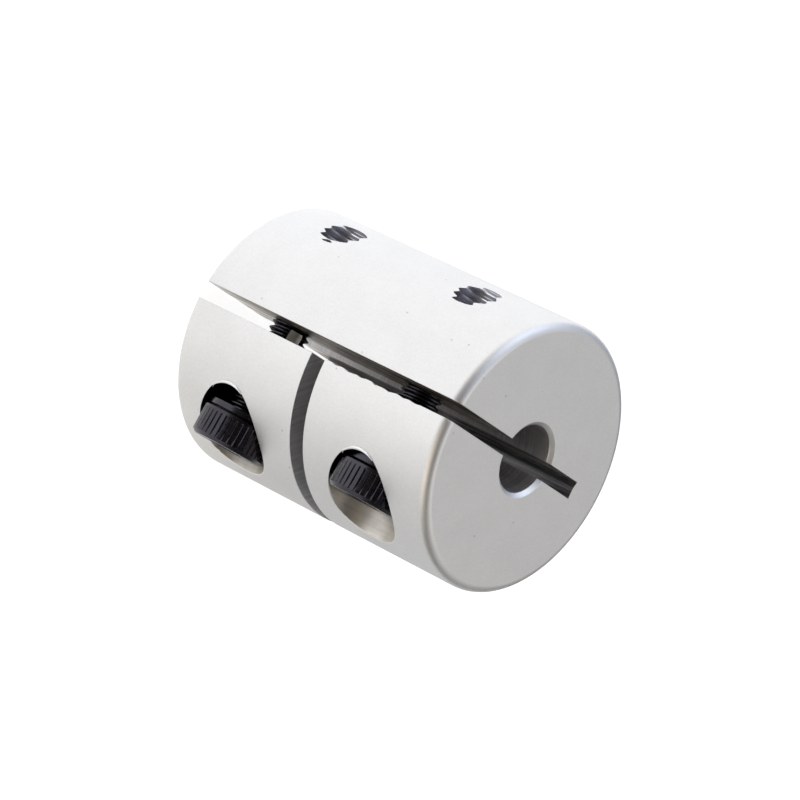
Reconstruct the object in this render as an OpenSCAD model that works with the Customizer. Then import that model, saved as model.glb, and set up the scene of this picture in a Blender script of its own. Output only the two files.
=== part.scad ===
// Rigid clamping shaft coupling: a round bar with a through bore, sawn along its length so
// that it grips two shaft ends, and sawn across one jaw so that each screw grips its own shaft.
// Units are millimetres. The shaft axis is Z, and the coupling stands on its lower end at Z = 0.
// The long slot opens towards -X. The screws enter from -Y and are tapped into the jaw at +Y.

/* [Body] */
// Outside diameter of the body
body_d = 20; // [19:0.5:24]
// Length of the body
body_l = 25; // [22:0.5:36]
// Radius of the rounded rim at both ends
rim_r = 0.7; // [0.3:0.1:1.2]
// Diameter of the bore that the shafts go into
bore_d = 5; // [3:0.5:6]
// Lead-in chamfer at both ends of the bore
bore_chamfer = 0.3; // [0.1:0.1:0.5]

/* [Saw cuts] */
// Width of the long slot between the two jaws
slot_w = 1.3; // [0.8:0.1:1.6]
// How far the long slot runs past the shaft axis
slot_past_axis = 6.4; // [4:0.2:7.4]
// Width of the cross cut that parts the lower jaw in two
cross_w = 1.3; // [0.8:0.1:1.6]

/* [Screw places] */
// Distance from the side of the body where the slot opens to the axes of the screws
screw_inset = 4.4; // [4:0.1:4.8]
// Distance from the lower end of the body to the lower screw
lower_setback = 5.6; // [4.8:0.2:6.6]
// Distance from the upper end of the body to the upper screw
upper_setback = 6.4; // [4.8:0.2:6.6]
// Distance from the middle of the slot to the seats of the screw heads
seat_depth = 4.8; // [4.2:0.1:5]

/* [Screws] */
// Outside diameter of the thread
thread_d = 3; // [2.5:0.5:3.5]
// Length of the thread under the head
screw_l = 10; // [8:0.5:11]
// Bevel at the tip of the thread
tip_bevel = 0.35; // [0.1:0.05:0.6]
// Diameter of the head over the knurling
head_d = 5.5; // [5.2:0.1:5.8]
// Height of the head
head_h = 2.8; // [2.6:0.1:3.2]
// Bevel at the free end of the head
head_bevel = 0.25; // [0.1:0.05:0.4]
// Diameter of the smooth collar under the knurling
collar_d = 5.1; // [4.6:0.1:5.3]
// Height of the smooth collar
collar_h = 0.4; // [0.2:0.1:0.8]
// Rise of the cone between the collar and the knurling
collar_cone_h = 0.2; // [0.1:0.05:0.4]
// Number of ridges in the knurling
knurl_count = 40; // [30:2:50]
// Depth of the grooves between the ridges
knurl_depth = 0.08; // [0.05:0.01:0.18]
// Width of the grooves at the surface of the head
knurl_groove_w = 0.15; // [0.08:0.01:0.3]
// Plain band that the grooves leave at each end of the head's side
knurl_band = 0.25; // [0.1:0.05:0.5]
// Hexagon socket, across its flats
hex_flats = 2.5; // [2:0.1:2.7]
// Depth of the hexagon socket
hex_depth = 1.3; // [0.8:0.1:1.6]
// Bevel around the mouth of the socket
hex_bevel = 0.15; // [0.05:0.05:0.25]
// How far the lower screw is backed out of its seat
lower_backed_out = 1.5; // [0:0.1:2]
// How far the upper screw is backed out of its seat
upper_backed_out = 0.4; // [0:0.1:2]

/* [Fits] */
// Gap around the thread in the tapped hole
thread_gap = 0.05; // [0.02:0.01:0.1]
// Gap around the thread in the clearance hole of the lower jaw
shank_gap = 0.2; // [0.1:0.05:0.3]
// Gap around the head in its counterbore
head_gap = 0.35; // [0.2:0.05:0.45]

/* [Hidden] */
$fn = 96;
past = 1; // how far a cut runs out into free air
body_r = body_d / 2;
bore_r = bore_d / 2;
mid_z = body_l / 2;
screw_offset = body_r - screw_inset; // shaft axis to the axes of the screws
lower_z = lower_setback;
upper_z = body_l - upper_setback;
screw_zs = [lower_z, upper_z];
shank_r = thread_d / 2;
head_r = head_d / 2;
collar_r = collar_d / 2;
hex_r = hex_flats / sqrt(3); // centre of the socket to a corner

// Bar with rounded rims, stood on end.
module rounded_bar() {
    rotate_extrude() {
        square([body_r - rim_r, body_l]);
        translate([0, rim_r]) square([body_r, body_l - 2 * rim_r]);
        for (z = [rim_r, body_l - rim_r])
            translate([body_r - rim_r, z]) circle(rim_r);
    }
}

// The bore, with a chamfer that opens it at each end.
module bore_cut() {
    mouth = bore_r + bore_chamfer;
    translate([0, 0, -past]) cylinder(r = bore_r, h = body_l + 2 * past);
    rotate_extrude() {
        polygon([[0, -past], [mouth + past, -past], [mouth - bore_chamfer, bore_chamfer], [0, bore_chamfer]]);
        translate([0, body_l])
            polygon([[0, past], [mouth + past, past], [mouth - bore_chamfer, -bore_chamfer], [0, -bore_chamfer]]);
    }
}

// The long slot, sawn through both ends from the -X side and past the shaft axis.
module long_slot_cut() {
    translate([-body_r - past, -slot_w / 2, -past])
        cube([body_r + past + slot_past_axis, slot_w, body_l + 2 * past]);
}

// The cross cut, sawn from below up to the middle of the long slot.
module cross_cut() {
    translate([-body_r - past, -body_r - past, mid_z - cross_w / 2])
        cube([2 * (body_r + past), body_r + past, cross_w]);
}

// Tapped hole, clearance hole and counterbore for one screw, along Y at height z.
module screw_hole_cut(z) {
    translate([-screw_offset, 0, z]) rotate([-90, 0, 0]) {
        cylinder(r = shank_r + thread_gap, h = body_r + past);
        translate([0, 0, -body_r]) cylinder(r = shank_r + shank_gap, h = body_r);
        translate([0, 0, -body_r - past]) cylinder(r = head_r + head_gap, h = body_r + past - seat_depth);
    }
}

module coupling_body() {
    color("#d9dadb") difference() {
        rounded_bar();
        bore_cut();
        long_slot_cut();
        cross_cut();
        for (z = screw_zs) screw_hole_cut(z);
    }
}

// Head without its knurling: a cone up from the collar, the plain side, and the end bevel.
module plain_head() {
    rotate_extrude() polygon([
        [0, -collar_h],
        [collar_r, -collar_h],
        [head_r, -collar_h - collar_cone_h],
        [head_r, -head_h + head_bevel],
        [head_r - head_bevel, -head_h],
        [0, -head_h]
    ]);
}

// One V groove of the knurling, between the plain bands at both ends of the head's side.
// It is cut on past the surface with the same slopes.
module knurl_groove_cut() {
    from = -head_h + head_bevel + knurl_band;
    to = -collar_h - collar_cone_h - knurl_band;
    groove_past = 0.2;
    half_w = knurl_groove_w / 2 * (knurl_depth + groove_past) / knurl_depth;
    translate([0, 0, from]) linear_extrude(height = to - from)
        polygon([
            [head_r - knurl_depth, 0],
            [head_r + groove_past, -half_w],
            [head_r + groove_past, half_w]
        ]);
}

module knurled_head() {
    difference() {
        plain_head();
        for (i = [0 : knurl_count - 1]) rotate([0, 0, i * 360 / knurl_count]) knurl_groove_cut();
    }
}

// Hexagon socket in the free end of the head, with a bevelled mouth and a drilled bottom.
module hex_socket_cut() {
    translate([0, 0, -head_h - past]) cylinder(r = hex_r, h = hex_depth + past, $fn = 6);
    translate([0, 0, -head_h]) cylinder(r1 = hex_r + hex_bevel, r2 = hex_r - hex_bevel, h = 2 * hex_bevel);
    translate([0, 0, hex_depth - head_h]) cylinder(r1 = hex_flats / 2, r2 = 0, h = hex_flats / 6);
}

// Collar and threaded part, from the head's seat at 0 up to the tip.
module collar_and_shank() {
    rotate_extrude() polygon([
        [0, -collar_h],
        [collar_r, -collar_h],
        [collar_r, 0],
        [shank_r, 0],
        [shank_r, screw_l - tip_bevel],
        [shank_r - tip_bevel, screw_l],
        [0, screw_l]
    ]);
}

// One socket head cap screw at height z, backed out of its seat by the given distance.
module clamp_screw(z, backed_out) {
    color("#2b2b30") translate([-screw_offset, -seat_depth - backed_out, z]) rotate([-90, 0, 0])
        difference() {
            union() {
                collar_and_shank();
                knurled_head();
            }
            hex_socket_cut();
        }
}

module lower_clamp_screw() {
    clamp_screw(lower_z, lower_backed_out);
}

module upper_clamp_screw() {
    clamp_screw(upper_z, upper_backed_out);
}

coupling_body();
lower_clamp_screw();
upper_clamp_screw();
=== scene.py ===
import math
import random
import bmesh
import bpy
from mathutils import Matrix, Vector


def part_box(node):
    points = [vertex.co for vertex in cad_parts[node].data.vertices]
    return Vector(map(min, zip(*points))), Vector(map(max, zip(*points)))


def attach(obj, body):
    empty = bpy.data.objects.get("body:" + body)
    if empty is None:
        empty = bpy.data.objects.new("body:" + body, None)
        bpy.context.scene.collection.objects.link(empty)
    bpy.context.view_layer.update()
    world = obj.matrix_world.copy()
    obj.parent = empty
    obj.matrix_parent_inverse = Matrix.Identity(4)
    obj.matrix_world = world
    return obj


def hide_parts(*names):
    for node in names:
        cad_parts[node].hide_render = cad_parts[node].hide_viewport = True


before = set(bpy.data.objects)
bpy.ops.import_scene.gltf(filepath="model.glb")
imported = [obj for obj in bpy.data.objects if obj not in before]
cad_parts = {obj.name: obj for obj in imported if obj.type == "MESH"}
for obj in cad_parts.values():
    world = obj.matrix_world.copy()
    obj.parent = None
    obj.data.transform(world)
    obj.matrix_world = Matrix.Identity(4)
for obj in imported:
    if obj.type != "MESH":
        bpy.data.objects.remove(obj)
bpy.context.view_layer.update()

# Pieces are modelled with one Blender unit to the millimetre and scaled to metres when done.
mm = 0.001
fullTurn = 2 * math.pi
# How close counts as the same place, in mm.
hair, near, loose = 0.001, 0.01, 0.02


def cadPlace(node):
    low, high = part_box(node)
    return low / mm, high / mm


def selectOnly(piece):
    bpy.ops.object.select_all(action="DESELECT")
    piece.select_set(True)
    bpy.context.view_layer.objects.active = piece
    return piece


def newPiece(name, addPrimitive, **settings):
    bpy.ops.object.select_all(action="DESELECT")
    addPrimitive(**settings)
    piece = bpy.context.object
    piece.name = piece.data.name = name
    bpy.ops.object.transform_apply(location=True, rotation=True, scale=True)
    return piece


def editing(piece, mode="EDGE"):
    selectOnly(piece)
    bpy.ops.object.mode_set(mode="EDIT")
    bpy.ops.mesh.select_mode(type=mode)
    bpy.ops.mesh.select_all(action="DESELECT")


def doneEditing():
    bpy.ops.object.mode_set(mode="OBJECT")


def pick(piece, kind, test):
    mesh = bmesh.from_edit_mesh(piece.data)
    for part in getattr(mesh, kind):
        if test(part):
            part.select_set(True)
    bmesh.update_edit_mesh(piece.data)


def middleOf(edge):
    return (edge.verts[0].co + edge.verts[1].co) / 2


def rise(edge):
    return abs(edge.verts[0].co.z - edge.verts[1].co.z)


def tidyMesh(piece, reach=0.0005):
    editing(piece, "VERT")
    bpy.ops.mesh.select_all(action="SELECT")
    bpy.ops.mesh.remove_doubles(threshold=reach)
    bpy.ops.mesh.normals_make_consistent(inside=False)
    doneEditing()


def traceLine(name, points):
    # A plane is merged to one vertex, which is then extruded from point to point.
    line = newPiece(name, bpy.ops.mesh.primitive_plane_add, size=1, location=points[0])
    editing(line, "VERT")
    bpy.ops.mesh.select_all(action="SELECT")
    bpy.ops.mesh.merge(type="CENTER")
    for start, end in zip(points, points[1:]):
        step = Vector(end) - Vector(start)
        bpy.ops.mesh.extrude_vertices_move(TRANSFORM_OT_translate={"value": step})
    doneEditing()
    return line


def lathe(name, points, steps):
    # Outline in the XZ plane, spun about Z. Both ends of the outline lie on the axis.
    piece = traceLine(name, [(r, 0, z) for r, z in points])
    editing(piece, "VERT")
    bpy.ops.mesh.select_all(action="SELECT")
    bpy.ops.mesh.spin(steps=steps, angle=fullTurn, center=(0, 0, 0), axis=(0, 0, 1))
    doneEditing()
    tidyMesh(piece)
    return piece


def thickenOutline(piece, depth):
    # Fills a traced outline and extrudes it into a solid. It stays in edit mode, its new end selected.
    editing(piece, "VERT")
    bpy.ops.mesh.select_all(action="SELECT")
    bpy.ops.mesh.edge_face_add()
    bpy.ops.mesh.extrude_region_move(TRANSFORM_OT_translate={"value": depth})


def facesOutwards():
    bpy.ops.mesh.select_all(action="SELECT")
    bpy.ops.mesh.normals_make_consistent(inside=False)
    doneEditing()


def alongY(piece, x, y, z):
    # Turns a piece made along +Z so that it runs along +Y, and moves it to its place.
    selectOnly(piece)
    piece.rotation_euler = (-math.pi / 2, 0, 0)
    piece.location = (x, y, z)
    bpy.ops.object.transform_apply(location=True, rotation=True, scale=True)
    return piece


def useBoolean(piece, other, operation="DIFFERENCE"):
    selectOnly(piece)
    change = piece.modifiers.new("cut", "BOOLEAN")
    change.operation, change.object, change.solver = operation, other, "EXACT"
    bpy.ops.object.modifier_apply(modifier=change.name)
    bpy.data.objects.remove(other)


def bevelEdges(piece, test, width, segments):
    editing(piece)
    pick(piece, "edges", test)
    bpy.ops.mesh.bevel(offset=width, segments=segments, profile=0.5, affect="EDGES", clamp_overlap=False)
    doneEditing()


def toMetres(piece):
    selectOnly(piece)
    piece.scale = (mm, mm, mm)
    bpy.ops.object.transform_apply(location=True, rotation=True, scale=True)


# The camera, fitted to the photo's outline and to the mouth of the bore, with the body 20 mm wide.
cameraSizes = {
    "lens": 182.685, "sensor": 36, "aim": (0.313, -0.130, 12.5), "distance": 286.35,
    "azimuth": -85.53, "elevation": 37.99, "roll": 116.22, "clip": (0.01, 20),
}


def makeCamera(s):
    turn, lift = math.radians(s["azimuth"]), math.radians(s["elevation"])
    back = Vector((math.sin(turn) * math.cos(lift), -math.cos(turn) * math.cos(lift), math.sin(lift)))
    bpy.ops.object.camera_add(location=(Vector(s["aim"]) + back * s["distance"]) * mm)
    camera = bpy.context.object
    camera.name = "photoCamera"
    camera.data.lens = s["lens"]
    camera.data.sensor_width = s["sensor"]
    camera.data.clip_start, camera.data.clip_end = s["clip"]
    camera.rotation_mode = "QUATERNION"
    upright = (-back).to_track_quat("-Z", "Y").to_matrix()
    roll = Matrix.Rotation(math.radians(s["roll"]), 3, "Z")
    camera.rotation_quaternion = (upright @ roll).to_quaternion()
    bpy.context.scene.camera = camera


makeCamera(cameraSizes)
print("camera placed")

# The 3 mm by 0.5 mm thread that the screws and their tapped holes share.
threadSizes = {
    "pitch": 0.5, "steps": 64, "crestFlat": 0.07, "rootFlat": 0.07,
    "start": (0.0, 0.22),  # where the thread of each hole begins, lower and upper
    "spareTurns": 3, "weld": 0.001, "endWeld": 0.0002, "cutReach": 0.00001,
}


def threadedRod(name, s, crestRadius, rootRadius, low, high, start):
    # One tooth along one pitch, turned into a helix by the Screw modifier and cut flat at both ends.
    flank = (s["pitch"] - s["crestFlat"] - s["rootFlat"]) / 2
    z, outline = 0.0, []
    for radius, run in ((rootRadius, s["rootFlat"]), (rootRadius, flank), (crestRadius, s["crestFlat"]),
                        (crestRadius, flank), (rootRadius, 0)):
        outline.append((radius, 0, z))
        z += run
    rod = traceLine(name, outline)
    helix = rod.modifiers.new("helix", "SCREW")
    helix.axis, helix.angle, helix.screw_offset = "Z", fullTurn, s["pitch"]
    helix.steps = helix.render_steps = s["steps"]
    helix.iterations = math.ceil((high - low) / s["pitch"]) + s["spareTurns"]
    helix.use_merge_vertices = False
    selectOnly(rod)
    bpy.ops.object.modifier_apply(modifier=helix.name)
    # whole pitches down from the start, so that a screw is in step with its hole
    rod.location.z = math.floor((low - start) / s["pitch"] - 1) * s["pitch"] + start
    bpy.ops.object.transform_apply(location=True)
    tidyMesh(rod, s["weld"])
    for level, outer in ((low, False), (high, True)):
        editing(rod)
        bpy.ops.mesh.select_all(action="SELECT")
        bpy.ops.mesh.bisect(plane_co=(0, 0, level), plane_no=(0, 0, 1), use_fill=True,
                            clear_inner=not outer, clear_outer=outer, threshold=s["cutReach"])
        doneEditing()
    tidyMesh(rod, s["endWeld"])
    return rod


# The body, to the measures of its CAD node. Creases are in radians, lipFrom and lipTo in degrees.
bodySizes = {
    "radius": 10, "length": 25, "sides": 288, "rim": 0.7, "rimSteps": 7,
    "bore": 2.5, "boreChamfer": 0.3, "boreSides": 128,
    "slotWidth": 1.3, "slotPast": 6.4, "crossWidth": 1.3,
    "screwX": -5.6, "screwZ": (5.6, 18.6), "seat": -4.8, "holeSides": 96,
    "clearance": 1.7, "counterbore": 3.1, "tapCrest": 1.55, "tapRoot": 1.27,
    "over": 2, "weld": 0.02,
    "holeBevel": 0.06, "holeBevelSteps": 3, "holeCrease": 0.5, "bevelUpTo": -5.35,
    "sawBevel": 0.04, "sawBevelSteps": 2, "sawCrease": 0.7,
    "mouthBand": 0.3, "mouthReach": 0.02, "mouthClear": 0.4,
    # how far the saw left the slot's end proud, at each distance from its middle
    "slotEndBulge": ((0.0, 0.08), (0.325, 0.06)), "slotEndCuts": 3,
    "lipFrom": 157, "lipTo": 212, "lipSteps": 24, "lipThickness": 0.14, "lipRound": 5,
    "lipOutside": 0.03, "lipInside": 0.06, "lipProud": 0.02, "lipEnds": 0.3,
    "burrFrom": 12.6, "burrTo": 22.4, "burrStep": 0.225, "burrDepth": 0.17, "burrReach": 1.8,
    "burrFade": 0.15, "burrOutside": 0.3, "burrAbove": 0.2, "burrRamp": 6,
    # depth of the bites as a share of burrDepth: mean, then height, rate and lag of two waves
    "burrMean": 0.45, "burrWaves": ((0.3, 1.1, 0), (0.25, 0.43, 2)), "burrVary": (0.75, 1.25), "burrSeed": 4,
}


def plainBody(s):
    body = newPiece("couplingBody", bpy.ops.mesh.primitive_cylinder_add, vertices=s["sides"],
                    radius=s["radius"], depth=s["length"], location=(0, 0, s["length"] / 2))
    bevelEdges(body, lambda e: rise(e) < near, s["rim"], s["rimSteps"])
    return body


def boreCutter(s):
    r, c, o, l = s["bore"], s["boreChamfer"], s["over"], s["length"]
    outline = [(0, -o), (r + c + o, -o), (r, c), (r, l - c), (r + c + o, l + o), (0, l + o)]
    return lathe("boreCutter", outline, s["boreSides"])


def boxCutter(name, low, high):
    low, high = Vector(low), Vector(high)
    return newPiece(name, bpy.ops.mesh.primitive_cube_add, size=1, location=(low + high) / 2,
                    scale=high - low)


def longSlotCutter(s):
    # The saw leaves the end of the slot a little proud in its middle.
    far = s["radius"] + s["over"]
    cutter = boxCutter("longSlotCutter", (-far, -s["slotWidth"] / 2, -s["over"]),
                       (s["slotPast"], s["slotWidth"] / 2, s["length"] + s["over"]))
    editing(cutter)
    pick(cutter, "edges", lambda e: middleOf(e).x > s["slotPast"] - near and abs(middleOf(e).y) < near)
    bpy.ops.mesh.subdivide(number_cuts=s["slotEndCuts"])
    for side, proud in s["slotEndBulge"]:
        bpy.ops.mesh.select_mode(type="VERT")
        bpy.ops.mesh.select_all(action="DESELECT")
        pick(cutter, "verts", lambda v: v.co.x > s["slotPast"] - near and abs(abs(v.co.y) - side) < near)
        bpy.ops.transform.translate(value=(-proud, 0, 0))
    doneEditing()
    return cutter


def burrCutter(s):
    # The lower lip of the long slot is ragged where the saw broke out: shallow bites, one after another.
    lip = -s["slotWidth"] / 2
    outside = -math.sqrt(s["radius"] ** 2 - lip ** 2) - s["burrOutside"]
    chance = random.Random(s["burrSeed"])
    steps = round((s["burrTo"] - s["burrFrom"]) / s["burrStep"])
    outline = [(outside, lip + s["burrAbove"], s["burrFrom"])]
    for i in range(steps + 1):
        fade = min(1, i / s["burrRamp"], (steps - i) / s["burrRamp"])
        wave = s["burrMean"]
        for height, rate, lag in s["burrWaves"]:
            wave += height * math.sin(rate * i + lag)
        bite = s["burrDepth"] * wave * chance.uniform(*s["burrVary"]) * fade
        outline.append((outside, lip - bite, s["burrFrom"] + i * s["burrStep"]))
    outline.append((outside, lip + s["burrAbove"], s["burrTo"]))
    cutter = traceLine("burrCutter", outline)
    thickenOutline(cutter, (s["burrOutside"] + s["burrReach"], 0, 0))
    # the bites run out inside the slot
    bpy.ops.transform.resize(value=(1, s["burrFade"], 1), center_override=(0, lip, 0))
    facesOutwards()
    return cutter


def screwHoleCutter(s, z):
    # Counterbore and clearance hole, up to the middle of the slot.
    out = s["radius"] + s["over"]
    cutter = lathe("screwHoleCutter", [
        (0, -out), (s["counterbore"], -out), (s["counterbore"], s["seat"]),
        (s["clearance"], s["seat"]), (s["clearance"], 0), (0, 0)], s["holeSides"])
    return alongY(cutter, s["screwX"], 0, z)


def mouthLip(s, z):
    # The cutter rolled up a small lip along the top of each counterbore's mouth: a traced line, given
    # a thickness that tapers to both ends.
    line = []
    for i in range(s["lipSteps"] + 1):
        turn = math.radians(s["lipFrom"] + (s["lipTo"] - s["lipFrom"]) * i / s["lipSteps"])
        away = s["counterbore"] + s["lipOutside"] - s["lipInside"] * math.sin(math.pi * i / s["lipSteps"])
        x, up = s["screwX"] + away * math.cos(turn), away * math.sin(turn)
        line.append((x, -math.sqrt((s["radius"] + s["lipProud"]) ** 2 - x * x), z + up))
    lip = selectOnly(traceLine("mouthLip", line))
    bpy.ops.object.convert(target="CURVE")
    lip = bpy.context.object
    lip.data.bevel_depth, lip.data.bevel_resolution = s["lipThickness"], s["lipRound"]
    lip.data.use_fill_caps = True
    points = lip.data.splines[0].points
    for i, point in enumerate(points):
        point.radius = s["lipEnds"] + (1 - s["lipEnds"]) * math.sin(math.pi * i / (len(points) - 1))
    bpy.ops.object.convert(target="MESH")
    lip = bpy.context.object
    tidyMesh(lip)
    return lip


def nearMouth(s, edge, reach):
    # whether an edge lies along the wall of a counterbore, from its seat outwards
    at = middleOf(edge)
    return at.y < s["seat"] + s["mouthBand"] and any(
        abs(math.hypot(at.x - s["screwX"], at.z - z) - s["counterbore"]) < reach for z in s["screwZ"])


def isMouthEdge(s, edge):
    return (edge.calc_face_angle(0) > s["holeCrease"] and nearMouth(s, edge, s["mouthReach"])
            and middleOf(edge).y < s["bevelUpTo"])


def isSawnEdge(s, edge):
    return (edge.calc_face_angle(0) > s["sawCrease"] and edge.is_convex
            and not nearMouth(s, edge, s["mouthClear"]))


def flattenEnds(piece, s):
    # Corners of the bevels that came out past the end faces go back into them.
    for end, outward in ((0, -1), (s["length"], 1)):
        editing(piece, "VERT")
        pick(piece, "verts", lambda v: 0 < (v.co.z - end) * outward)
        bpy.ops.transform.resize(value=(1, 1, 0), center_override=(0, 0, end))
        doneEditing()


def makeBody(s):
    out, middle = s["radius"] + s["over"], s["length"] / 2
    body = plainBody(s)
    useBoolean(body, boreCutter(s))
    useBoolean(body, longSlotCutter(s))
    useBoolean(body, boxCutter("crossCutter", (-out, -out, middle - s["crossWidth"] / 2),
                               (out, 0, middle + s["crossWidth"] / 2)))
    for z in s["screwZ"]:
        useBoolean(body, screwHoleCutter(s, z))
    print("body cut:", len(body.data.vertices), "vertices")
    tidyMesh(body, s["weld"])
    for z in s["screwZ"]:
        useBoolean(body, mouthLip(s, z), "UNION")
    print("mouths lipped:", len(body.data.vertices), "vertices")
    # The counterbores are deburred round their mouths, the saw cuts only just broken.
    bevelEdges(body, lambda e: isMouthEdge(s, e), s["holeBevel"], s["holeBevelSteps"])
    bevelEdges(body, lambda e: isSawnEdge(s, e), s["sawBevel"], s["sawBevelSteps"])
    print("body bevelled:", len(body.data.vertices), "vertices")
    flattenEnds(body, s)
    useBoolean(body, burrCutter(s))
    for z, start in zip(s["screwZ"], threadSizes["start"]):
        tap = threadedRod("tapCutter", threadSizes, s["tapCrest"], s["tapRoot"], 0, out, start)
        useBoolean(body, alongY(tap, s["screwX"], 0, z))
    print("body threaded:", len(body.data.vertices), "vertices")
    return body


body = makeBody(bodySizes)

# The two screws, alike but for their places and the worn patch.
screwSizes = {
    "threadRadius": 1.5, "threadRoot": 1.22, "length": 10, "tip": 0.35, "tipSides": 64,
    "head": 2.75, "headHeight": 2.8, "headBevel": 0.25, "collar": 2.55, "collarHeight": 0.4, "cone": 0.2,
    "ridges": 40, "cornersPerRidge": 6,
    "grooveDepth": 0.08, "grooveStart": 0.2, "grooveRise": 0.1, "grooveFade": 0.55,
    "flats": 2.5, "socketDepth": 1.3, "socketBevel": 0.15, "socketSides": 50,
    # how far cutters run out, and how far pieces that become one run into each other
    "over": 1, "tipOver": 0.5, "drillOverlap": 0.1, "threadOverlap": 0.2,
    "wornRadius": 1.49, "wornInner": 0.9, "wornFrom": 218, "wornTo": 258, "wornSteps": 10,
    "wornLow": -0.66, "wornHigh": 0.4, "wornCorner": 0.3, "wornCornerSteps": 6,
}


def headOutline(s):
    # Half section of the head, from its seat at 0 to its free end.
    knurlTop = -s["collarHeight"] - s["cone"]
    bevelStart = s["headBevel"] - s["headHeight"]
    onKnurl = [(s["head"], z) for z in (knurlTop, knurlTop - s["grooveStart"],
                                        knurlTop - s["grooveStart"] - s["grooveRise"],
                                        bevelStart + s["grooveFade"], bevelStart)]
    return [(0, 0), (s["collar"], 0), (s["collar"], -s["collarHeight"])] + onKnurl + [
        (s["head"] - s["headBevel"], -s["headHeight"]), (0, -s["headHeight"])]


def knurledHead(s):
    # Broad lands with a narrow groove between each two. The grooves run out before the free end.
    corners = s["cornersPerRidge"]
    head = lathe("screwHead", headOutline(s), corners * s["ridges"])
    step = fullTurn / (corners * s["ridges"])
    low = s["headBevel"] - s["headHeight"] + s["grooveFade"] - near
    high = -s["collarHeight"] - s["cone"] - s["grooveStart"] - s["grooveRise"] + near

    def inGroove(v):
        corner = round(math.atan2(v.co.y, v.co.x) / step) % corners
        return corner == 0 and low < v.co.z < high and math.hypot(v.co.x, v.co.y) > s["head"] - near
    editing(head, "VERT")
    pick(head, "verts", inGroove)
    share = 1 - s["grooveDepth"] / s["head"]
    bpy.ops.transform.resize(value=(share, share, 1), center_override=(0, 0, 0))
    doneEditing()
    return head


def wornPatch(s):
    # Where the thread of the lower screw shows smooth and silvery in the gap: part of a plain cylinder,
    # along Z.
    start, turn = math.radians(s["wornFrom"]), math.radians(s["wornTo"] - s["wornFrom"]) / s["wornSteps"]
    middle = math.radians((s["wornFrom"] + s["wornTo"]) / 2)
    outline = [(s["wornInner"] * math.cos(middle), s["wornInner"] * math.sin(middle), s["wornLow"])]
    for i in range(s["wornSteps"] + 1):
        angle = start + i * turn
        outline.append((s["wornRadius"] * math.cos(angle), s["wornRadius"] * math.sin(angle), s["wornLow"]))
    patch = traceLine("wornPatch", outline)
    thickenOutline(patch, (0, 0, s["wornHigh"] - s["wornLow"]))
    facesOutwards()
    # its four corners are rubbed round
    bevelEdges(patch, lambda e: rise(e) < hair
               and min(v.co.xy.length for v in e.verts) < s["wornInner"] + near,
               s["wornCorner"], s["wornCornerSteps"])
    return patch


def socketCutter(s):
    # Hexagon, drilled bottom and bevelled mouth.
    bottom, depth = s["socketDepth"] - s["headHeight"], s["socketDepth"] + s["over"]
    corner, half, top = s["flats"] / math.sqrt(3), s["flats"] / 2, bottom - s["drillOverlap"]
    socket = newPiece("socketCutter", bpy.ops.mesh.primitive_cylinder_add, vertices=6, radius=corner,
                      depth=depth, location=(0, 0, bottom - depth / 2))
    drilled = lathe("socketBottom", [(0, top), (half, top), (half, bottom), (0, bottom + s["flats"] / 6)],
                    s["socketSides"])
    useBoolean(socket, drilled, "UNION")
    free, b, o = -s["headHeight"], s["socketBevel"], s["over"]
    mouth = lathe("socketMouth", [(0, free - o), (corner + b + o, free - o), (corner - b, free + b),
                                  (0, free + b)], s["socketSides"])
    useBoolean(socket, mouth, "UNION")
    return socket


def makeScrew(s, name, node, start, worn):
    low, high = cadPlace(node)
    x, z = (low.x + high.x) / 2, (low.z + high.z) / 2
    seat = low.y + s["headHeight"]
    screw = knurledHead(s)
    screw.name = screw.data.name = name
    useBoolean(screw, socketCutter(s))
    shank = threadedRod("thread", threadSizes, s["threadRadius"], s["threadRoot"],
                        seat - s["threadOverlap"], high.y, start)
    if worn:
        useBoolean(shank, wornPatch(s), "UNION")
    selectOnly(shank)
    shank.location.z = -seat
    bpy.ops.object.transform_apply(location=True)
    wide, end = s["threadRadius"] + s["tipOver"], s["length"]
    pointed = lathe("tip", [(0, -s["over"]), (wide, -s["over"]), (wide, end - s["tip"] - s["tipOver"]),
                            (s["threadRadius"] - s["tip"], end), (0, end)], s["tipSides"])
    useBoolean(shank, pointed, "INTERSECT")
    useBoolean(screw, shank, "UNION")
    return alongY(screw, x, seat, z)


# Node, piece, and whether its thread has the worn patch.
screwNames = (("lower_clamp_screw", "lowerClampScrew", True),
              ("upper_clamp_screw", "upperClampScrew", False))
screws = {}
for (node, name, worn), start in zip(screwNames, threadSizes["start"]):
    screws[node] = makeScrew(screwSizes, name, node, start, worn)
print("screws made")


# Finishes, each named for what the real surface is. The sizes of their patterns are in mm.
def linear(hexColour):
    values = [int(hexColour[i:i + 2], 16) / 255 for i in (1, 3, 5)]
    return [v / 12.92 if v <= 0.04045 else ((v + 0.055) / 1.055) ** 2.4 for v in values] + [1]


def newMaterial(name):
    material = bpy.data.materials.new(name)
    material.use_nodes = True
    shader = material.node_tree.nodes["Principled BSDF"]
    return material, material.node_tree, shader


def addNode(tree, kind, settings=None, links=None):
    node = tree.nodes.new(kind)
    for key, value in (settings or {}).items():
        if isinstance(key, int) or key in node.inputs:
            node.inputs[key].default_value = value
        else:
            setattr(node, key, value)
    for key, source in (links or {}).items():
        tree.links.new(source, node.inputs[key])
    return node


def scaleFor(size):
    return 1 / (size * mm)


def objectPlace(tree, sizes=None):
    # Place on the piece in metres, or counted along each axis in a pattern's own size.
    place = addNode(tree, "ShaderNodeTexCoord").outputs["Object"]
    scale = [scaleFor(size) for size in sizes] if sizes else (1, 1, 1)
    return addNode(tree, "ShaderNodeMapping", {"Scale": scale}, {"Vector": place}).outputs["Vector"]


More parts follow.
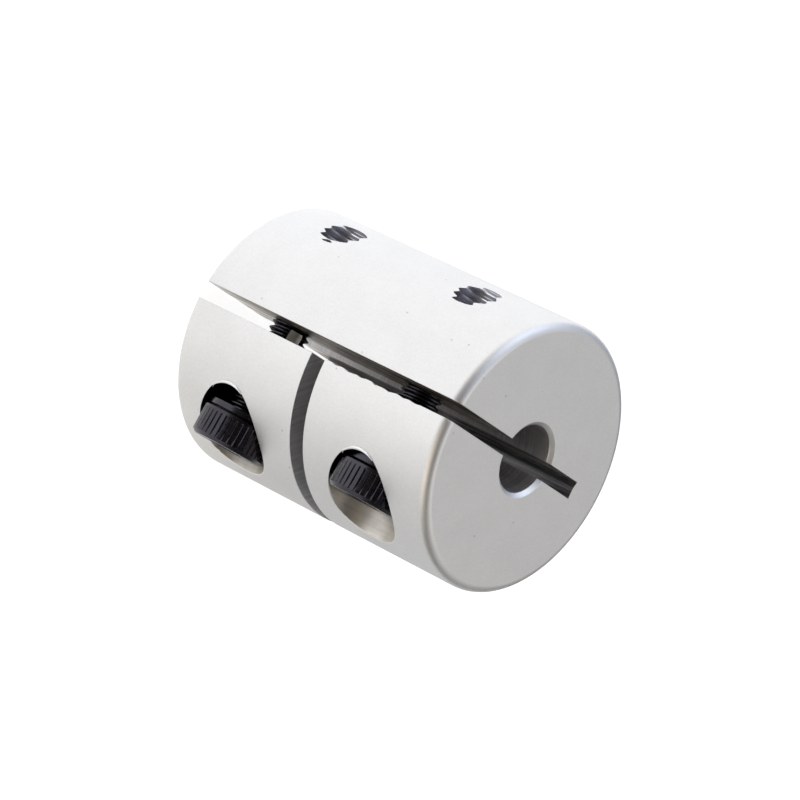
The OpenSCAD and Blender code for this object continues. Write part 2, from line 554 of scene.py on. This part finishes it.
def setTones(ramp, dark, light, low=0.3, high=0.7):
    stops = ramp.color_ramp.elements
    stops[0].position, stops[1].position = low, high
    stops[0].color, stops[1].color = linear(dark), linear(light)


# The grain is drawn coarser than beads leave it, so that it shows.
skinFinish = {
    "dark": "#e9e9e8", "light": "#f3f3f2", "roughness": 0.5,
    "grain": 0.16, "grainHeight": 0.02, "grainStrength": 0.25, "cloud": 2.5, "cloudShare": 0.3,
    "speckSpacing": 1.1, "speckInner": 0.05, "speckOuter": 0.09, "speckAbove": 0.8, "speckShade": 0.35,
    "speckColour": "#6d6a60",
}


def blastedAluminium(s):
    # Bead-blasted, then clear anodised: an even, fine, silvery matt with the grain of the beads.
    material, tree, shader = newMaterial("blastedAluminium")
    grain = addNode(tree, "ShaderNodeTexNoise",
                    {"Scale": scaleFor(s["grain"]), "Detail": 3, "Roughness": 0.6},
                    {"Vector": objectPlace(tree)})
    cloud = addNode(tree, "ShaderNodeTexNoise", {"Scale": scaleFor(s["cloud"]), "Detail": 2},
                    {"Vector": objectPlace(tree)})
    tone = addNode(tree, "ShaderNodeMix", {"data_type": "FLOAT", 0: s["cloudShare"]},
                   {2: grain.outputs["Fac"], 3: cloud.outputs["Fac"]})
    colour = addNode(tree, "ShaderNodeValToRGB", None, {"Fac": tone.outputs[0]})
    setTones(colour, s["dark"], s["light"])
    # a few dark specks, one to two tenths of a millimetre across
    speckle = addNode(tree, "ShaderNodeTexVoronoi", {"Scale": scaleFor(s["speckSpacing"])},
                      {"Vector": objectPlace(tree)})
    speck = addNode(tree, "ShaderNodeMapRange", {"From Min": s["speckInner"], "From Max": s["speckOuter"],
                                                 "To Min": 1, "To Max": 0},
                    {"Value": speckle.outputs["Distance"]})
    chance = addNode(tree, "ShaderNodeSeparateColor", None, {"Color": speckle.outputs["Color"]})
    rare = addNode(tree, "ShaderNodeMath", {"operation": "GREATER_THAN", 1: s["speckAbove"]},
                   {0: chance.outputs[0]})
    dirt = addNode(tree, "ShaderNodeMath", {"operation": "MULTIPLY"},
                   {0: speck.outputs[0], 1: rare.outputs[0]})
    soft = addNode(tree, "ShaderNodeMath", {"operation": "MULTIPLY", 1: s["speckShade"]},
                   {0: dirt.outputs[0]})
    shown = addNode(tree, "ShaderNodeMix", {"data_type": "RGBA", 7: linear(s["speckColour"])},
                    {0: soft.outputs[0], 6: colour.outputs["Color"]})
    tree.links.new(shown.outputs[2], shader.inputs["Base Color"])
    bump = addNode(tree, "ShaderNodeBump",
                   {"Strength": s["grainStrength"], "Distance": s["grainHeight"] * mm},
                   {"Height": grain.outputs["Fac"]})
    tree.links.new(bump.outputs["Normal"], shader.inputs["Normal"])
    shader.inputs["Metallic"].default_value = 1
    shader.inputs["Roughness"].default_value = s["roughness"]
    return material


def cutAluminium(name, dark, light, roughness, marks, height=0.01):
    # Bare metal as a tool leaves it, with the marks of that tool in its colour and its bump.
    material, tree, shader = newMaterial(name)
    pattern = marks(tree)
    colour = addNode(tree, "ShaderNodeValToRGB", None, {"Fac": pattern})
    setTones(colour, dark, light)
    tree.links.new(colour.outputs["Color"], shader.inputs["Base Color"])
    bump = addNode(tree, "ShaderNodeBump", {"Strength": 0.5, "Distance": height * mm}, {"Height": pattern})
    tree.links.new(bump.outputs["Normal"], shader.inputs["Normal"])
    shader.inputs["Metallic"].default_value = 1
    shader.inputs["Roughness"].default_value = roughness
    return material


# Spacing of each tool's marks, one number or one for each axis, the centre of the saw that made the
# cross cut, and the two places along Y between which a counterbore's wall turns from dark, painted shade, to
# light.
markSizes = {
    "sawStreaks": (1.4, 0.22, 9), "sawArcs": 0.28, "sawCentre": (12, -30, 0),
    "boreRings": (8, 8, 0.15), "holeRings": (4, 0.35, 4),
    "wallPatches": 1.2, "darkFrom": -6.6, "lightFrom": -7.8,
    "oxideRings": (1.2, 0.12, 1.2), "wornStreaks": (0.3, 3, 0.3),
}


def lengthwiseMarks(tree):
    # Long slot: the saw ran along the bar, so its marks are long streaks, broad on the two jaws.
    streaks = addNode(tree, "ShaderNodeTexNoise",
                      {"Scale": 1, "Detail": 5, "Roughness": 0.7, "Distortion": 0.4},
                      {"Vector": objectPlace(tree, markSizes["sawStreaks"])})
    return addNode(tree, "ShaderNodeMapRange",
                   {"From Min": 0.4, "From Max": 0.6, "To Min": 0.28, "To Max": 0.72},
                   {"Value": streaks.outputs["Fac"]}).outputs[0]


def archedMarks(tree):
    # Cross cut: a round saw came in from the side, so its marks are arcs about a far centre.
    centre = addNode(tree, "ShaderNodeVectorMath",
                     {"operation": "SUBTRACT", 1: [part * mm for part in markSizes["sawCentre"]]},
                     {0: objectPlace(tree)})
    flat = addNode(tree, "ShaderNodeVectorMath", {"operation": "MULTIPLY", 1: (1, 1, 0)},
                   {0: centre.outputs["Vector"]})
    away = addNode(tree, "ShaderNodeVectorMath", {"operation": "LENGTH"}, {0: flat.outputs["Vector"]})
    arcs = addNode(tree, "ShaderNodeTexNoise",
                   {"noise_dimensions": "1D", "Scale": scaleFor(markSizes["sawArcs"]), "Detail": 2},
                   {"W": away.outputs["Value"]})
    return arcs.outputs["Fac"]


def ringMarks(tree):
    # Bore: the reamer leaves fine rings round the shaft axis.
    rings = addNode(tree, "ShaderNodeTexNoise", {"Scale": 1, "Detail": 2},
                    {"Vector": objectPlace(tree, markSizes["boreRings"])})
    return rings.outputs["Fac"]


def drillMarks(tree):
    # Holes for the screws: rings round their axes, which lie along Y.
    rings = addNode(tree, "ShaderNodeTexNoise", {"Scale": 1, "Detail": 2},
                    {"Vector": objectPlace(tree, markSizes["holeRings"])})
    return rings.outputs["Fac"]


def depthShadeAndMarks(tree):
    # Painted shade: the counterbore's wall is darker the deeper it lies and lighter towards its mouth, with
    # drill rings and patches in its tone.
    place = addNode(tree, "ShaderNodeSeparateXYZ", None, {"Vector": objectPlace(tree)})
    outer = addNode(tree, "ShaderNodeMapRange",
                    {"interpolation_type": "SMOOTHSTEP", "From Min": markSizes["darkFrom"] * mm,
                     "From Max": markSizes["lightFrom"] * mm}, {"Value": place.outputs["Y"]})
    patches = addNode(tree, "ShaderNodeTexNoise", {"Scale": scaleFor(markSizes["wallPatches"]), "Detail": 3},
                      {"Vector": objectPlace(tree)})
    marks = addNode(tree, "ShaderNodeMath", {"operation": "ADD"},
                    {0: drillMarks(tree), 1: patches.outputs["Fac"]})
    spread = addNode(tree, "ShaderNodeMapRange",
                     {"From Min": 0.6, "From Max": 1.4, "To Min": 0.55, "To Max": 0.8},
                     {"Value": marks.outputs[0]})
    return addNode(tree, "ShaderNodeMath", {"operation": "MULTIPLY"},
                   {0: spread.outputs[0], 1: outer.outputs[0]}).outputs[0]


def blackOxide():
    # Black oxide over steel, lightly oiled: black with a slaty, faintly violet shine and fine rings
    # round the screw, which lies along Y.
    material, tree, shader = newMaterial("blackOxideSteel")
    rings = addNode(tree, "ShaderNodeTexNoise", {"Scale": 1, "Detail": 3},
                    {"Vector": objectPlace(tree, markSizes["oxideRings"])})
    shine = addNode(tree, "ShaderNodeMapRange",
                    {"From Min": 0.3, "From Max": 0.7, "To Min": 0.2, "To Max": 0.34},
                    {"Value": rings.outputs["Fac"]})
    tree.links.new(shine.outputs[0], shader.inputs["Roughness"])
    bump = addNode(tree, "ShaderNodeBump", {"Strength": 0.3, "Distance": 0.006 * mm},
                   {"Height": rings.outputs["Fac"]})
    tree.links.new(bump.outputs["Normal"], shader.inputs["Normal"])
    shader.inputs["Base Color"].default_value = linear("#060608")
    shader.inputs["Specular Tint"].default_value = linear("#efeaff")
    shader.inputs["IOR"].default_value = 1.75
    return material


def wornSteel():
    # Steel with its oxide rubbed off: bright, with streaks along the screw.
    material, tree, shader = newMaterial("wornSteel")
    streaks = addNode(tree, "ShaderNodeTexNoise", {"Scale": 1, "Detail": 2},
                      {"Vector": objectPlace(tree, markSizes["wornStreaks"])})
    colour = addNode(tree, "ShaderNodeValToRGB", None, {"Fac": streaks.outputs["Fac"]})
    setTones(colour, "#ecedea", "#fafbf9", low=0.35, high=0.65)
    tree.links.new(colour.outputs["Color"], shader.inputs["Base Color"])
    shader.inputs["Metallic"].default_value = 1
    shader.inputs["Roughness"].default_value = 0.42
    return material


# Name, dark and light tone, roughness, marks, and the height of the marks where it isn't the usual one.
cutFinishes = (
    ("jawSawnAluminium", "#988e82", "#fffdf8", 0.38, lengthwiseMarks, 0.05),
    # end of the long slot: its tones are darkened as painted shade at the bottom of the narrow slot
    ("shadedSlotEndAluminium", "#6c6c70", "#acacb0", 0.35, lengthwiseMarks),
    ("crossSawnAluminium", "#d0d0d3", "#e2e2e3", 0.6, archedMarks),
    ("boredAluminium", "#cac8ca", "#e6e4e2", 0.45, ringMarks),
    # counterbore walls: the dark tone is painted shade deep in the holes
    ("drilledAluminium", "#3c3a38", "#eae6de", 0.45, depthShadeAndMarks),
    ("deburredAluminium", "#f0f0f0", "#f8f8f8", 0.3, drillMarks),
    # tapped threads: flanks toned darker than the crests, as painted shade in the grooves
    ("shadedTapFlankAluminium", "#b4b4ba", "#d0d0d6", 0.4, drillMarks),
)
bodyFinishes = [blastedAluminium(skinFinish)] + [cutAluminium(*finish) for finish in cutFinishes]
finishNames = [finish.name for finish in bodyFinishes]

# How one finish is told from another: distances, and how squarely a face looks a certain way.
finishLimits = {
    "mouthDepth": 0.5, "mouthBevel": 0.17, "facesIn": 0.97, "facesOut": 0.99, "facesUp": 0.5,
    "facesEnd": 0.5, "slotEnd": 0.1, "facesJaw": 0.99, "rimInside": 0.03, "facesHole": 0.998,
}


def finishOf(s, limit, face):
    at, n = face.center, face.normal
    fromAxis = math.hypot(at.x, at.y)
    half, middle = s["slotWidth"] / 2 + hair, s["length"] / 2
    outward = (n.x * at.x + n.y * at.y) / fromAxis
    for z in s["screwZ"]:
        fromScrew = math.hypot(at.x - s["screwX"], at.z - z)
        byMouth = abs(fromScrew - s["counterbore"]) < limit["mouthBevel"]
        if at.y < s["seat"] + limit["mouthDepth"] and byMouth:
            inward = -(n.x * (at.x - s["screwX"]) + n.z * (at.z - z)) / fromScrew
            if inward < limit["facesIn"] and outward < limit["facesOut"] and n.y < limit["facesUp"]:
                return "deburredAluminium"
    if fromAxis > s["radius"] - loose and abs(n.z) < limit["facesEnd"]:
        return "blastedAluminium"
    # the slot's end, toned dark as painted shade
    if abs(at.x - s["slotPast"]) < limit["slotEnd"] and abs(at.y) < half:
        return "shadedSlotEndAluminium"
    if abs(at.y) < half and abs(n.y) > limit["facesJaw"]:
        return "jawSawnAluminium"
    inCross = at.y < near and abs(at.z - middle) < s["crossWidth"] / 2 + hair
    if inCross and fromAxis < s["radius"] - limit["rimInside"]:
        return "crossSawnAluminium"
    for z in s["screwZ"]:
        fromScrew = math.hypot(at.x - s["screwX"], at.z - z)
        # crests of the tapped thread take the light deburred finish, the flanks a darker one: painted shade
        # in the grooves
        if at.y > 0 and fromScrew < s["tapCrest"] + near:
            return "deburredAluminium" if fromScrew < s["tapRoot"] + near else "shadedTapFlankAluminium"
        if at.y < 0 and fromScrew < s["counterbore"] + near:
            return "drilledAluminium"
    return "boredAluminium" if fromAxis < s["bore"] + loose else "blastedAluminium"


for finish in bodyFinishes:
    body.data.materials.append(finish)
for face in body.data.polygons:
    face.material_index = finishNames.index(finishOf(bodySizes, finishLimits, face))


def onHoleWall(s, limit, face):
    # whether a face looks straight at the axis of a counterbore, as its wall does
    at, n = face.calc_center_median(), face.normal
    for z in s["screwZ"]:
        x, up = at.x - s["screwX"], at.z - z
        away = math.hypot(x, up)
        byWall = at.y < s["seat"] and abs(away - s["counterbore"]) < loose
        if byWall and -(n.x * x + n.z * up) / away > limit["facesHole"]:
            return True
    return False


def isCrisp(edge):
    # An edge is crisp where one finish meets another, and round the walls of the counterbores.
    finishes = {face.material_index for face in edge.link_faces}
    walls = {onHoleWall(bodySizes, finishLimits, face) for face in edge.link_faces}
    return len(finishes) > 1 or len(walls) > 1


editing(body)
pick(body, "edges", isCrisp)
bpy.ops.mesh.mark_sharp()
doneEditing()
oxide, bare = blackOxide(), wornSteel()
for screw in screws.values():
    screw.data.materials.append(oxide)
    screw.data.materials.append(bare)


def isWorn(s, face):
    x, z = bodySizes["screwX"], bodySizes["screwZ"][0]
    fromScrew = math.hypot(face.center.x - x, face.center.z - z)
    turn = math.degrees(math.atan2(z - face.center.z, face.center.x - x)) % 360
    return (s["wornLow"] < face.center.y < s["wornHigh"] and fromScrew > s["wornRadius"] - loose
            and s["wornFrom"] < turn < s["wornTo"])


for face in screws["lower_clamp_screw"].data.polygons:
    face.material_index = int(isWorn(screwSizes, face))
print("finishes given")

# Each piece takes the place of its CAD node.
smoothUpTo = 30
for piece, node, finish in ((body, "coupling_body", "blasted_aluminium"),
                            (screws["lower_clamp_screw"], "lower_clamp_screw", "black_oxide_steel"),
                            (screws["upper_clamp_screw"], "upper_clamp_screw", "black_oxide_steel")):
    toMetres(piece)
    selectOnly(piece)
    bpy.ops.object.shade_smooth_by_angle(angle=math.radians(smoothUpTo), keep_sharp_edges=True)
    if piece is body:
        # its broad faces keep their own normals beside narrow bevels
        normals = piece.modifiers.new("normals", "WEIGHTED_NORMAL")
        normals.keep_sharp = True
        bpy.ops.object.modifier_apply(modifier=normals.name)
    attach(piece, "root")
    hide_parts(node)
print("pieces placed")

# The studio floor, in metres. Metal sees it brighter on the slot's side than on that of the screw heads: a
# painted reflection, a glow only mirrored rays see.
floorSizes = {
    "size": 6, "below": 0.00002, "colour": "#c8c8c8", "roughness": 0.9, "lift": 0.93,
    "brightSide": (-0.5, 0.87, 0), "dimUpTo": -0.02, "brightFrom": 0.01, "dim": 0.38, "bright": 0.92,
}


def paleFloor(s):
    # White as the camera sees it, with the object's own soft shadow on it; metal sees a dimmer, painted
    # glow.
    material, tree, shader = newMaterial("paleFloor")
    shader.inputs["Base Color"].default_value = linear(s["colour"])
    shader.inputs["Roughness"].default_value = s["roughness"]
    rays = addNode(tree, "ShaderNodeLightPath").outputs
    mirrored = addNode(tree, "ShaderNodeMath", {"operation": "MAXIMUM"},
                       {0: rays["Is Glossy Ray"], 1: rays["Is Transmission Ray"]})
    side = addNode(tree, "ShaderNodeVectorMath", {"operation": "DOT_PRODUCT", 1: s["brightSide"]},
                   {0: objectPlace(tree)})
    level = addNode(tree, "ShaderNodeMapRange", {"From Min": s["dimUpTo"], "From Max": s["brightFrom"],
                                                 "To Min": s["dim"], "To Max": s["bright"]},
                    {"Value": side.outputs["Value"]})
    # painted reflection: a glow only metal and glass see, brighter on the slot's side than behind the screw
    # heads
    paintedReflectionGlow = addNode(tree, "ShaderNodeMath", {"operation": "MULTIPLY"},
                      {0: mirrored.outputs[0], 1: level.outputs[0]})
    lift = addNode(tree, "ShaderNodeMath", {"operation": "MULTIPLY_ADD", 1: s["lift"]},
                   {0: rays["Is Camera Ray"], 2: paintedReflectionGlow.outputs[0]})
    shader.inputs["Emission Color"].default_value = linear("#ffffff")
    tree.links.new(lift.outputs[0], shader.inputs["Emission Strength"])
    return material


floor = newPiece("studioFloor", bpy.ops.mesh.primitive_plane_add, size=floorSizes["size"],
                 location=(0, 0, -floorSizes["below"]))
floor.data.materials.append(paleFloor(floorSizes))

# Soft lights round a dim room: elevation, azimuth from +X, level and colour of each.
cool, plain, creamy, warm = "#e2ebff", "#ffffff", "#fffaf3", "#fff3e2"
softLights = (
    (62, 0, 1.17, creamy), (38, 45, 0.58, cool), (38, 90, 1.82, cool), (38, 315, 0.57, plain),
    (12, 90, 1.19, cool), (12, 135, 0.60, warm), (12, 225, 2.10, warm))
roomLevel, lightSharpness = 0.02, 12


def studioWorld(lights):
    # Each light is a soft round patch of the sky, added to those before it.
    world = bpy.context.scene.world or bpy.data.worlds.new("studio")
    bpy.context.scene.world = world
    world.use_nodes = True
    tree = world.node_tree
    direction = addNode(tree, "ShaderNodeTexCoord").outputs["Generated"]
    total = None
    for elevation, azimuth, level, colour in lights:
        lift, turn = math.radians(elevation), math.radians(azimuth)
        towards = (math.cos(lift) * math.cos(turn), math.cos(lift) * math.sin(turn), math.sin(lift))
        facing = addNode(tree, "ShaderNodeVectorMath", {"operation": "DOT_PRODUCT", 1: towards},
                         {0: direction})
        front = addNode(tree, "ShaderNodeMath", {"operation": "MAXIMUM", 1: 0}, {0: facing.outputs["Value"]})
        soft = addNode(tree, "ShaderNodeMath", {"operation": "POWER", 1: lightSharpness},
                       {0: front.outputs[0]})
        shine = addNode(tree, "ShaderNodeVectorMath", {
            "operation": "MULTIPLY_ADD", 1: [part * level for part in linear(colour)[:3]],
            2: (roomLevel, roomLevel, roomLevel)}, {0: soft.outputs[0]})
        if total:
            tree.links.new(total, shine.inputs[2])
        total = shine.outputs["Vector"]
    tree.links.new(total, tree.nodes["Background"].inputs["Color"])
    tree.nodes["Background"].inputs["Strength"].default_value = 1


studioWorld(softLights)
print("studio lit")

bpy.context.scene.view_settings.view_transform = "Standard"
